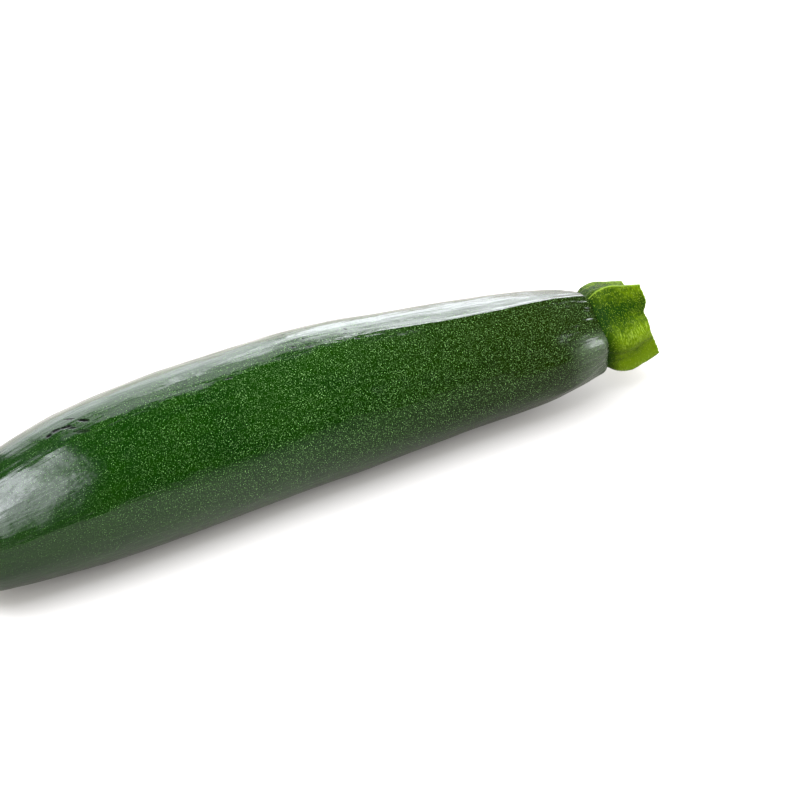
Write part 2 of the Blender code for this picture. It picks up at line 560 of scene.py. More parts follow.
@dataclass
class StalkSkin(Skin):
    """The stub of stalk: five ridges of different height, grown out of the fruit and cut by a knife.

    Its stations are in millimetres from the seat, but those of the rim are in degrees round it, and those of
    the cut's dish in shares of its radius. Their values are in millimetres or, for the valleys, shares.
    """

    growth: Growth
    name: str = "stalk_skin"
    sides: int = 320
    rings: int = 200

    # Where the root's end and the side end, as shares of the rings
    base_share: float = 0.04
    side_share: float = 0.68
    root: float = 2.0 * MM
    length: float = 15 * MM
    droop: float = math.radians(8)

    # The ridged side: one value for each ridge in stands and in ridge_sharpness, from the top round the back
    crest_radii: tuple[tuple[float, float], ...] = (
        (-2, 10.6), (0, 11.9), (2.5, 13.6), (6.5, 14.2), (10.5, 13.0), (13.5, 12.0), (15, 11.4),
    )
    valley_depths: tuple[tuple[float, float], ...] = ((0, 0.10), (4, 0.17), (10, 0.22), (15, 0.23))
    stands: tuple[float, ...] = (0.0 * MM, 1.0 * MM, 0.0 * MM, 1.0 * MM, -0.7 * MM)
    ridge_sharpness: tuple[float, ...] = (2.4, 2.2, 1.7, 1.5, 1.0)

    # The cut: how far its rim stands out, and how deep its dish is
    rim: tuple[tuple[float, float], ...] = (
        (-60, 0.8), (-50, 0.75), (-24, -0.2), (10, -1.8), (26, -1.3), (45, -1.0), (52, -0.2), (60, 0.7),
        (72, 0.8), (79, 0.65), (85, 0.9), (95, -0.3), (120, -1.0), (145, -0.5), (156, 0.1), (192, -0.9),
        (228, 0.6), (264, -0.6), (300, 0.8),
    )
    rim_lateness: int = 3
    cut_dish: tuple[tuple[float, float], ...] = (
        (0, 0.9), (0.25, 0.88), (0.5, 0.72), (0.72, 0.25), (0.94, 0.02), (1.0, 0.0),
    )

    # The relief of the side, laid out on a plain round bar: fibres, pimples and a keel on each ridge
    bar_radius: float = 12 * MM
    inset: float = 0.06 * MM
    swell: float = 0.16 * MM
    swell_sizes: tuple[float, float] = (5 * MM, 2.6 * MM)
    stria: float = 0.06 * MM
    stria_sizes: tuple[float, float] = (7 * MM, 0.8 * MM)
    pimple: float = 0.05 * MM
    pimple_sizes: tuple[float, float] = (0.7 * MM, 0.7 * MM)
    keel: float = 0.15 * MM
    keel_width: float = math.radians(1.6)
    low_keel: float = 0.3
    low_keel_sharpness: int = 12

    # The face of the cut: a ragged edge, grainy pith and a ring of vessels
    ragged: float = 0.25 * MM
    ragged_sizes: tuple[float, float] = (2 * MM, 0.7 * MM)
    pith_edge: float = 0.85
    cut_edge: float = 0.93
    bundle_count: int = 15
    bundle_ring: float = 0.76
    bundle_radius: float = 0.55 * MM
    bundle_height: float = 0.16 * MM
    pith: float = 0.12 * MM
    pith_sizes: tuple[float, float] = (1 * MM, 0.7 * MM)

    def ring(self, share: float) -> Ring:
        """Gives a ring of the stalk.

        Args:
            share: 0 in the middle of its root, inside the fruit, and 1 in the middle of the cut.

        Returns:
            The ring.
        """
        narrowing = 1.0
        along = self.length
        if share < self.base_share:
            along = -self.root
            narrowing = share / self.base_share
        elif share < self.side_share:
            part = (share - self.base_share) / (self.side_share - self.base_share)
            along = -self.root + (self.length + self.root) * part
        else:
            narrowing = 1 - (share - self.side_share) / (1 - self.side_share)
        return Ring(
            frame=self.growth.centreline(self.growth.length),
            along=along,
            narrowing=narrowing,
            radius=curve_through(self.crest_radii, along / MM) * MM,
            ribs=curve_through(self.valley_depths, along / MM),
            sunk=curve_through(self.cut_dish, narrowing) * MM if share >= self.side_share else 0,
        )

    def ridge_value(self, values: tuple[float, ...], angle: float) -> float:
        """Gives the value that belongs to an angle, eased from each ridge to the next.

        Args:
            values: One value for each ridge, from the top one round the back.
            angle: The angle round the stalk.

        Returns:
            The value there.
        """
        count = self.growth.rib_count
        place = (angle - self.growth.rib_angle) / math.tau * count
        before = math.floor(place)
        t = place - before
        share = t * t * (3 - 2 * t)
        return values[before % count] * (1 - share) + values[(before + 1) % count] * share

    def side_radius(self, ring: Ring, angle: float) -> float:
        """The radius of the ridged side at an angle, before the fine relief."""
        share = max(ring.along / self.length, 0)
        crest_radius = ring.radius + self.ridge_value(self.stands, angle) * share
        raised = self.growth.crest(angle, self.ridge_value(self.ridge_sharpness, angle))
        return crest_radius * (1 - ring.ribs * (1 - raised))

    def relief(self, bar: Vector, angle: float) -> float:
        """How far the skin stands out of the plain ridged side.

        Args:
            bar: The place on the round bar.
            angle: The angle round the stalk.

        Returns:
            The height of the swellings, fibres, pimples and the keels on the ridges.
        """
        top_keel = bell(self.growth.off_top_rib(angle), self.keel_width)
        low_keel = self.low_keel * self.growth.crest(angle, self.low_keel_sharpness)
        height = self.swell * rough(bar, self.swell_sizes) - self.inset
        height += self.stria * rough(bar, self.stria_sizes)
        height += self.pimple * rough(bar, self.pimple_sizes)
        height += self.keel * (top_keel + low_keel)
        return height

    def cut_relief(self, ring: Ring, angle: float, flat: Vector) -> float:
        """How far the cut face stands out: pith, and a ring of vessels under the skin.

        Args:
            ring: The ring it is on.
            angle: The angle round the stalk.
            flat: The place on the cut face.

        Returns:
            The height over the plain dish.
        """
        inner = 1 - smooth_step(self.pith_edge, 1, ring.narrowing)
        grain = self.pith * rough(flat, self.pith_sizes)
        return inner * (grain + self.bundle_height * self.vessel(ring, angle))

    def vessel(self, ring: Ring, angle: float) -> float:
        """1 in the middle of a vessel of the cut face, and 0 away from them.

        Args:
            ring: The ring it is on.
            angle: The angle round the stalk.

        Returns:
            The share.
        """
        step = math.tau / self.bundle_count
        off = (angle + step / 2) % step - step / 2
        radius = ring.radius * ring.narrowing
        return bell(math.hypot(radius - ring.radius * self.bundle_ring, off * radius), self.bundle_radius)

    def point(self, ring: Ring, angle: float) -> SkinPoint:
        """Gives a point of the stalk.

        Args:
            ring: The ring it is on.
            angle: Its angle, 0 towards -Y and a quarter turn at the top.

        Returns:
            The point.
        """
        across, up = -math.cos(angle), math.sin(angle)
        bar = on_bar(ring.along, across, up, self.bar_radius)
        cut = ring.along >= self.length and ring.narrowing < 1
        radius = (self.side_radius(ring, angle) + self.relief(bar, angle)) * ring.narrowing
        flat = on_bar(0, across, up, radius)
        share = max(ring.along / self.length, 0)
        turn = (math.degrees(angle) - self.rim[0][0]) % 360 + self.rim[0][0]
        reach_out = curve_through(self.rim, turn) * MM + self.ragged * rough(bar, self.ragged_sizes)
        along = ring.along - ring.sunk + reach_out * (share * ring.narrowing) ** self.rim_lateness
        reach = 0.0
        crest = self.growth.crest(angle, 1)
        if cut:
            along += self.cut_relief(ring, angle, flat)
            reach = 1 - smooth_step(self.cut_edge, 1, ring.narrowing)
            crest += (self.vessel(ring, angle) - crest) * reach
            bar = on_bar(ring.along, across, up, self.bar_radius * ring.narrowing)
        drop = math.tan(self.droop) * max(ring.along, 0)
        place = ring.frame @ Vector((along, flat.y, flat.z - drop))
        return SkinPoint(place, bar, reach, crest)


@dataclass
class Prickles:
    """The short stiff hairs of the stalk, which catch the light as pale specks.

    Attributes:
        lean: How far they lean at most, as a share of their own direction.
        first: Where along the stalk they begin.
        last: Where they end.
        sunk: The share of their length that is under the skin.
        tip_share: The thickness of the tip, as a share of that of the foot.
    """

    stalk: StalkSkin
    name: str = "stalk_prickles"
    seed: int = 7
    count: int = 700
    sides: int = 4
    shortest: float = 0.2 * MM
    longest: float = 0.6 * MM
    thickness: float = 0.09 * MM
    tip_share: float = 0.2
    sunk: float = 0.1
    lean: float = 0.5
    first: float = 0.6 * MM
    last: float = 14.2 * MM

    def build(self) -> bpy.types.Object:
        """Makes all prickles as small cones in one mesh.

        Returns:
            The object, at the origin.
        """
        draw = random.Random(self.seed)
        shape = bmesh.new()
        for _ in range(self.count):
            angle = draw.uniform(-math.pi, math.pi)
            along = draw.uniform(self.first, self.last)
            length = self.shortest + (self.longest - self.shortest) * draw.random() ** 2
            share = self.stalk.base_share + (self.stalk.side_share - self.stalk.base_share) * (
                (along + self.stalk.root) / (self.stalk.length + self.stalk.root)
            )
            ring = self.stalk.ring(share)
            foot = self.stalk.point(ring, angle).place
            outwards = ring.frame.to_3x3() @ Vector((
                draw.uniform(-self.lean, self.lean),
                -math.cos(angle) + draw.uniform(-self.lean, self.lean),
                math.sin(angle) + draw.uniform(-self.lean, self.lean),
            ))
            turn = outwards.to_track_quat("Z", "Y").to_matrix().to_4x4()
            middle = foot + outwards.normalized() * length * (0.5 - self.sunk)
            bmesh.ops.create_cone(
                shape, cap_ends=True, segments=self.sides, radius1=self.thickness / 2,
                radius2=self.tip_share * self.thickness / 2, depth=length,
                matrix=Matrix.Translation(middle) @ turn,
            )
        return finished(self.name, shape)


def add_node(
    tree: bpy.types.NodeTree,
    kind: str,
    settings: dict[str | int, object] | None = None,
    links: dict[str | int, bpy.types.NodeSocket] | None = None,
) -> bpy.types.Node:
    """Adds a node with its settings and links.

    Args:
        tree: The node tree.
        kind: The node's type.
        settings: Values by the name of a property, or by the name or number of an input.
        links: The outputs that feed its inputs, by the input's name or number.

    Returns:
        The new node.
    """
    node = tree.nodes.new(kind)
    for name, value in (settings or {}).items():
        if isinstance(name, str) and hasattr(node, name):
            setattr(node, name, value)
    for name, value in (settings or {}).items():
        if not (isinstance(name, str) and hasattr(node, name)):
            node.inputs[name].default_value = value
    for name, source in (links or {}).items():
        tree.links.new(source, node.inputs[name])
    return node


def new_material(name: str) -> tuple[bpy.types.Material, bpy.types.NodeTree, bpy.types.Node]:
    """Makes a material with a Principled shader.

    Args:
        name: The material's name.

    Returns:
        The material, its node tree and its shader.
    """
    material = bpy.data.materials.new(name)
    material.use_nodes = True
    tree = material.node_tree
    return material, tree, tree.nodes["Principled BSDF"]


def joined(
    tree: bpy.types.NodeTree, operation: str, parts: list[bpy.types.NodeSocket]
) -> bpy.types.NodeSocket:
    """Joins any number of values by one operation, such as ADD or MAXIMUM."""
    total = parts[0]
    for part in parts[1:]:
        total = add_node(tree, "ShaderNodeMath", {"operation": operation}, {0: total, 1: part}).outputs[0]
    return total


def drawn_out_noise(
    tree: bpy.types.NodeTree, skin: bpy.types.NodeSocket, sizes: tuple[float, float], detail: float
) -> bpy.types.NodeSocket:
    """Adds noise that is drawn out one way, as grown fibres are.

    Args:
        tree: The node tree.
        skin: The skin's coordinates.
        sizes: The noise's size along the fruit or stalk and round it.
        detail: How much finer noise rides on it.

    Returns:
        The noise's value.
    """
    along, across = sizes
    drawn = add_node(tree, "ShaderNodeMapping", {"Scale": (1 / along, 1 / across, 1 / across)},
                     {"Vector": skin}).outputs[0]
    return add_node(tree, "ShaderNodeTexNoise", {"Scale": 1.0, "Detail": detail},
                    {"Vector": drawn}).outputs["Fac"]


@dataclass(frozen=True)
class Nick:
    """A short dark scratch in the rind.

    Attributes:
        start: Its first end, as the distance from the blossom tip and the angle in degrees.
        end: Its other end.
        width: How wide it is.
        strength: How dark it is, up to 1.
    """

    start: tuple[float, float]
    end: tuple[float, float]
    width: float
    strength: float = 1.0

    def ends(self, bar_radius: float) -> tuple[Vector, Vector]:
        """Gives its ends on the round bar that the rind's patterns are laid out on."""
        points = []
        for s, angle in (self.start, self.end):
            turn = math.radians(angle)
            points.append(on_bar(s, -math.cos(turn), math.sin(turn), bar_radius))
        return points[0], points[1]


@dataclass(frozen=True)
class FleckLayer:
    """Pale flecks of one size: air under the skin.

    Attributes:
        spacing: The distance between flecks.
        radius: How far each reaches.
        faint: The share of the flecks that hardly show.
        strength: How much of the fleck's colour the strongest has.
    """

    spacing: float
    radius: float
    faint: float
    strength: float

    def share(self, tree: bpy.types.NodeTree, skin: bpy.types.NodeSocket) -> bpy.types.NodeSocket:
        """Adds the flecks, each of its own strength.

        Args:
            tree: The node tree.
            skin: The skin's coordinates.

        Returns:
            The share of the flecks' colour.
        """
        cells = add_node(tree, "ShaderNodeTexVoronoi", {"Scale": 1 / self.spacing}, {"Vector": skin})
        spot = add_node(tree, "ShaderNodeMapRange", {
            "interpolation_type": "SMOOTHSTEP", "From Min": self.radius / self.spacing, "From Max": 0.0,
        }, {"Value": cells.outputs["Distance"]}).outputs["Result"]
        own = add_node(tree, "ShaderNodeSeparateColor", links={0: cells.outputs["Color"]}).outputs[0]
        strength = add_node(tree, "ShaderNodeMapRange", {
            "From Min": self.faint, "From Max": 1.0, "To Max": self.strength,
        }, {"Value": own}).outputs["Result"]
        return add_node(tree, "ShaderNodeMath", {"operation": "MULTIPLY"},
                        {0: spot, 1: strength}).outputs[0]


@dataclass(frozen=True)
class Relief:
    """One layer of fine relief, too fine for the mesh.

    Attributes:
        sizes: Its size along the fruit and round it.
        depth: How high it stands.
        detail: How much finer relief rides on it.
    """

    sizes: tuple[float, float]
    depth: float
    detail: float

    def height(self, tree: bpy.types.NodeTree, skin: bpy.types.NodeSocket) -> bpy.types.NodeSocket:
        """Adds the relief's height, in metres, from the skin's coordinates."""
        waves = drawn_out_noise(tree, skin, self.sizes, self.detail)
        return add_node(tree, "ShaderNodeMath", {"operation": "MULTIPLY", 1: self.depth},
                        {0: waves}).outputs[0]


@dataclass(frozen=True)
class WaxyRind:
    """Courgette rind: smooth living skin under a thin wax bloom, which gives a satin gloss.

    Attributes:
        deep: The dark green of the skin.
        fresh: The livelier green between.
        dull: The greyer green towards the stalk.
        bloom_and_sheen_grey: The grey of the wax bloom by the seat, with a painted sheen where the lower side
            mirrors the light.
        fleck: The pale flecks of air under the skin.
        nick: The near black of old scratches.
        cork: The dry tan of the flower scar.
        cork_dark: The brown of its cracks.
    """

    deep: str = "#021800"
    fresh: str = "#082100"
    dull: str = "#0B1400"
    bloom_and_sheen_grey: str = "#384134"
    fleck: str = "#8FBC75"
    nick: str = "#020602"
    cork: str = "#4C412A"
    cork_dark: str = "#1C150B"
    bar_radius: float = FruitSkin.bar_radius
    ior: float = 1.45

    # Real flecks are mostly finer than this: they are drawn as coarse as they need to show
    flecks: tuple[FleckLayer, ...] = (
        FleckLayer(0.3 * MM, 0.15 * MM, 0.1, 0.22),
        FleckLayer(0.42 * MM, 0.13 * MM, 0.15, 0.88),
    )
    fleck_fade: float = 0.15
    fleck_full: float = 100 * MM

    # Fibres, pebbling and hairline fibres under the wax, which break up what it mirrors
    reliefs: tuple[Relief, ...] = (
        Relief((9 * MM, 0.9 * MM), 0.05 * MM, 2.0),
        Relief((2.2 * MM, 1.3 * MM), 0.05 * MM, 1.0),
        Relief((4 * MM, 0.4 * MM), 0.026 * MM, 2.0),
    )

    # The greens, in mottles and streaks, with the duller one towards the stalk
    mottle_size: float = 14 * MM
    streak_sizes: tuple[float, float] = (22 * MM, 1.8 * MM)
    dull_reach: tuple[float, float] = (90 * MM, 196 * MM)
    dull_most: float = 0.9

    # The wax bloom by the seat with its painted sheen, below the top and thinner in streaks
    bloom_and_sheen_reach: tuple[float, float] = (184 * MM, 195 * MM)
    bloom_and_sheen_top: tuple[float, float] = (13 * MM, 7 * MM)
    bloom_and_sheen_least: float = 0.4

    # Old scratches with ragged edges
    nick_fray: float = 0.6 * MM
    nick_stray: float = 0.7 * MM
    nick_edge: tuple[float, float] = (1.1, 0.6)
    nick_depth: float = 0.07 * MM
    nicks: tuple[Nick, ...] = (
        Nick((39.0 * MM, 102), (41.2 * MM, 95), 0.75 * MM),
        Nick((41.3 * MM, 92.5), (43.8 * MM, 86.5), 1.4 * MM),
        Nick((31.6 * MM, 91), (33.8 * MM, 93), 1.2 * MM),
        Nick((33.6 * MM, 93.5), (36.4 * MM, 93), 1.4 * MM),
        Nick((36.0 * MM, 92.5), (39.4 * MM, 90), 1.3 * MM),
        Nick((37.6 * MM, 89), (40.2 * MM, 86), 0.8 * MM, 0.8),
        Nick((38.0 * MM, 83.5), (42.4 * MM, 78), 1.5 * MM, 0.45),
        Nick((122.3 * MM, 93), (123.2 * MM, 91), 0.6 * MM),
        Nick((121.0 * MM, 87), (122.2 * MM, 85.5), 0.45 * MM),
        Nick((109.2 * MM, 93), (110.1 * MM, 91.5), 0.5 * MM),
        Nick((123.0 * MM, 79.5), (124.6 * MM, 78), 0.45 * MM),
        Nick((118.0 * MM, 83), (120.6 * MM, 81), 0.3 * MM),
        Nick((104.5 * MM, 87.5), (106.5 * MM, 86), 0.4 * MM),
        Nick((108.5 * MM, 84), (111.2 * MM, 81), 0.4 * MM),
        Nick((192.0 * MM, 96.5), (193.0 * MM, 94), 0.8 * MM),
        Nick((82.4 * MM, 77), (85.0 * MM, 76.5), 0.5 * MM),
    )

    # The flower scar: crazed dry cork round a dark eye, with the light left in its cracks and its eye
    scar_noise_size: float = 0.9 * MM
    scar_crack_spacing: float = 1.7 * MM
    scar_crack_edge: float = 0.12
    scar_crack_light: float = 0.3
    scar_eye: float = 3.2 * MM
    scar_eye_light: float = 0.25
    scar_roughness: float = 0.8

    # The gloss of the wax, in patches, and duller where it is thicker at both ends
    bloom_size: float = 5 * MM
    glossiest: float = 0.08
    roughness: float = 0.15
    nose_roughness: float = 0.2
    nose_reach: tuple[float, float] = (44 * MM, 24 * MM)
    seat_roughness: float = 0.17
    seat_reach: tuple[float, float] = (178 * MM, 194 * MM)

    def material(self) -> bpy.types.Material:
        """Builds the rind's material.

        Returns:
            The material, which reads the skin's own coordinates and the mask of the scar.
        """
        material, tree, shader = new_material("waxy_courgette_rind")
        skin = add_node(tree, "ShaderNodeAttribute", {"attribute_name": SKIN}).outputs["Vector"]
        reach = add_node(tree, "ShaderNodeAttribute", {"attribute_name": REACH}).outputs["Fac"]
        nicked = self.nicked(tree, skin)
        along = add_node(tree, "ShaderNodeSeparateXYZ", links={0: skin}).outputs["X"]
        fade = add_node(tree, "ShaderNodeMapRange", {
            "From Max": self.fleck_full, "To Min": self.fleck_fade,
        }, {"Value": along}).outputs["Result"]
        flecks = joined(tree, "MAXIMUM", [layer.share(tree, skin) for layer in self.flecks])
        faded = add_node(tree, "ShaderNodeMath", {"operation": "MULTIPLY"}, {0: flecks, 1: fade}).outputs[0]
        flecked = add_node(tree, "ShaderNodeMix", {
            "data_type": "RGBA", 7: linear(self.fleck),
        }, {0: faded, 6: self.green(tree, skin)}).outputs[2]
        scratched = add_node(tree, "ShaderNodeMix", {
            "data_type": "RGBA", 7: linear(self.nick),
        }, {0: nicked, 6: flecked}).outputs[2]
        cork = add_node(tree, "ShaderNodeMix", {
            "data_type": "RGBA", 6: linear(self.cork_dark), 7: linear(self.cork),
        }, {0: self.cork_share(tree, skin)}).outputs[2]
        coloured = add_node(tree, "ShaderNodeMix", {"data_type": "RGBA"},
                            {0: reach, 6: scratched, 7: cork}).outputs[2]
        bloom_noise = add_node(tree, "ShaderNodeTexNoise", {"Scale": 1 / self.bloom_size, "Detail": 3.0},
                               {"Vector": skin}).outputs["Fac"]
        bloom = add_node(tree, "ShaderNodeMapRange", {
            "From Min": NOISE_SPAN[0], "From Max": NOISE_SPAN[1],
            "To Min": self.glossiest, "To Max": self.roughness,
        }, {"Value": bloom_noise}).outputs["Result"]
        by_seat = add_node(tree, "ShaderNodeMapRange", {
            "interpolation_type": "SMOOTHSTEP",
            "From Min": self.seat_reach[0], "From Max": self.seat_reach[1],
        }, {"Value": along}).outputs["Result"]
        by_nose = add_node(tree, "ShaderNodeMapRange", {
            "interpolation_type": "SMOOTHSTEP",
            "From Min": self.nose_reach[0], "From Max": self.nose_reach[1],
        }, {"Value": along}).outputs["Result"]
        nosed = add_node(tree, "ShaderNodeMix", {
            "data_type": "FLOAT", 3: self.nose_roughness,
        }, {0: by_nose, 2: bloom}).outputs[0]
        seated = add_node(tree, "ShaderNodeMix", {
            "data_type": "FLOAT", 3: self.seat_roughness,
        }, {0: by_seat, 2: nosed}).outputs[0]
        roughness = add_node(tree, "ShaderNodeMix", {
            "data_type": "FLOAT", 3: self.scar_roughness,
        }, {0: reach, 2: seated}).outputs[0]
        sunk = add_node(tree, "ShaderNodeMath", {"operation": "MULTIPLY", 1: -self.nick_depth},
                        {0: nicked}).outputs[0]
        height = joined(tree, "ADD", [relief.height(tree, skin) for relief in self.reliefs] + [sunk])
        bump = add_node(tree, "ShaderNodeBump", {"Distance": 1.0}, {"Height": height})
        tree.links.new(coloured, shader.inputs["Base Color"])
        tree.links.new(roughness, shader.inputs["Roughness"])
        # A dry scratch mirrors nothing: as a metal, its gloss takes its own near black
        tree.links.new(nicked, shader.inputs["Metallic"])
        tree.links.new(bump.outputs["Normal"], shader.inputs["Normal"])
        shader.inputs["IOR"].default_value = self.ior
        return material

    def green(self, tree: bpy.types.NodeTree, skin: bpy.types.NodeSocket) -> bpy.types.NodeSocket:
        """Adds the mottled green of the skin, greyer towards the stalk, with the bloom's grey and its painted
        sheen low by the seat.

        Args:
            tree: The node tree.
            skin: The skin's coordinates.

        Returns:
            The colour under the flecks.
        """
        axes = add_node(tree, "ShaderNodeSeparateXYZ", links={0: skin})
        along = axes.outputs["X"]
        streak = drawn_out_noise(tree, skin, self.streak_sizes, 2.0)
        mottle = add_node(tree, "ShaderNodeTexNoise", {
            "Scale": 1 / self.mottle_size, "Detail": 3.0,
        }, {"Vector": skin}).outputs["Fac"]
        share = add_node(tree, "ShaderNodeMapRange", {
            "From Min": 2 * NOISE_SPAN[0], "From Max": 2 * NOISE_SPAN[1],
        }, {"Value": joined(tree, "ADD", [streak, mottle])}).outputs["Result"]
        mixed = add_node(tree, "ShaderNodeMix", {
            "data_type": "RGBA", 6: linear(self.deep), 7: linear(self.fresh),
        }, {0: share}).outputs[2]
        to_stalk = add_node(tree, "ShaderNodeMapRange", {
            "interpolation_type": "SMOOTHSTEP",
            "From Min": self.dull_reach[0], "From Max": self.dull_reach[1], "To Max": self.dull_most,
        }, {"Value": along}).outputs["Result"]
        greyer = add_node(tree, "ShaderNodeMix", {
            "data_type": "RGBA", 7: linear(self.dull),
        }, {0: to_stalk, 6: mixed}).outputs[2]
        # Bloom with a painted sheen: grey low on the side by the seat
        by_seat = add_node(tree, "ShaderNodeMapRange", {
            "interpolation_type": "SMOOTHSTEP",
            "From Min": self.bloom_and_sheen_reach[0], "From Max": self.bloom_and_sheen_reach[1],
        }, {"Value": along}).outputs["Result"]
        low = add_node(tree, "ShaderNodeMapRange", {
            "interpolation_type": "SMOOTHSTEP", "From Min": self.bloom_and_sheen_top[0], "From Max": self.bloom_and_sheen_top[1],
        }, {"Value": axes.outputs["Z"]}).outputs["Result"]
        streaked = add_node(tree, "ShaderNodeMapRange", {
            "From Min": NOISE_SPAN[0], "From Max": NOISE_SPAN[1], "To Min": self.bloom_and_sheen_least,
        }, {"Value": streak}).outputs["Result"]
        return add_node(tree, "ShaderNodeMix", {
            "data_type": "RGBA", 7: linear(self.bloom_and_sheen_grey),
        }, {0: joined(tree, "MULTIPLY", [by_seat, low, streaked]), 6: greyer}).outputs[2]

    def cork_share(self, tree: bpy.types.NodeTree, skin: bpy.types.NodeSocket) -> bpy.types.NodeSocket:
        """Adds the light and dark of the flower scar: crazed cork round a dark eye.

        Args:
            tree: The node tree.
            skin: The skin's coordinates.

        Returns:
            1 on light cork and 0 in its cracks and its eye.
        """
        mottle = add_node(tree, "ShaderNodeTexNoise", {
            "Scale": 1 / self.scar_noise_size, "Detail": 5.0,
        }, {"Vector": skin}).outputs["Fac"]
        edge = add_node(tree, "ShaderNodeTexVoronoi", {
            "feature": "DISTANCE_TO_EDGE", "Scale": 1 / self.scar_crack_spacing,
        }, {"Vector": skin}).outputs["Distance"]
        off_crack = add_node(tree, "ShaderNodeMapRange", {
            "From Max": self.scar_crack_edge, "To Min": self.scar_crack_light,
        }, {"Value": edge}).outputs["Result"]
        across = add_node(tree, "ShaderNodeVectorMath", {"operation": "MULTIPLY", 1: (0, 1, 1)},
                          {0: skin}).outputs[0]
        radius = add_node(tree, "ShaderNodeVectorMath", {"operation": "LENGTH"}, {0: across}).outputs["Value"]
        off_eye = add_node(tree, "ShaderNodeMapRange", {
            "interpolation_type": "SMOOTHSTEP", "From Max": self.scar_eye, "To Min": self.scar_eye_light,
        }, {"Value": radius}).outputs["Result"]
        return joined(tree, "MULTIPLY", [mottle, off_crack, off_eye])

    def nicked(self, tree: bpy.types.NodeTree, skin: bpy.types.NodeSocket) -> bpy.types.NodeSocket:
        """Adds the scratches, with frayed edges.

        Args:
            tree: The node tree.
            skin: The skin's coordinates.

        Returns:
            1 in a scratch and 0 off it.
        """
        noise_colour = add_node(tree, "ShaderNodeTexNoise", {"Scale": 1 / self.nick_fray, "Detail": 2.0},
                                {"Vector": skin}).outputs["Color"]
        centred = add_node(tree, "ShaderNodeVectorMath", {"operation": "SUBTRACT", 1: (0.5, 0.5, 0.5)},
                           {0: noise_colour}).outputs[0]
        shift = add_node(tree, "ShaderNodeVectorMath", {"operation": "SCALE", "Scale": self.nick_stray},
                         {0: centred}).outputs[0]
        frayed = add_node(tree, "ShaderNodeVectorMath", {"operation": "ADD"}, {0: skin, 1: shift}).outputs[0]
        masks = []
        for nick in self.nicks:
            first, last = nick.ends(self.bar_radius)
            turn = (last - first).to_track_quat("X", "Z").to_euler()
            local = add_node(tree, "ShaderNodeMapping", {
                "vector_type": "TEXTURE", "Location": (first + last) / 2, "Rotation": turn,
                "Scale": ((last - first).length / 2, nick.width / 2, nick.width / 2),
            }, {"Vector": frayed}).outputs[0]
            distance = add_node(tree, "ShaderNodeVectorMath", {"operation": "LENGTH"}, {0: local})
            masks.append(add_node(tree, "ShaderNodeMapRange", {
                "From Min": self.nick_edge[0], "From Max": self.nick_edge[1], "To Max": nick.strength,
            }, {"Value": distance.outputs["Value"]}).outputs["Result"])
        return joined(tree, "MAXIMUM", masks)


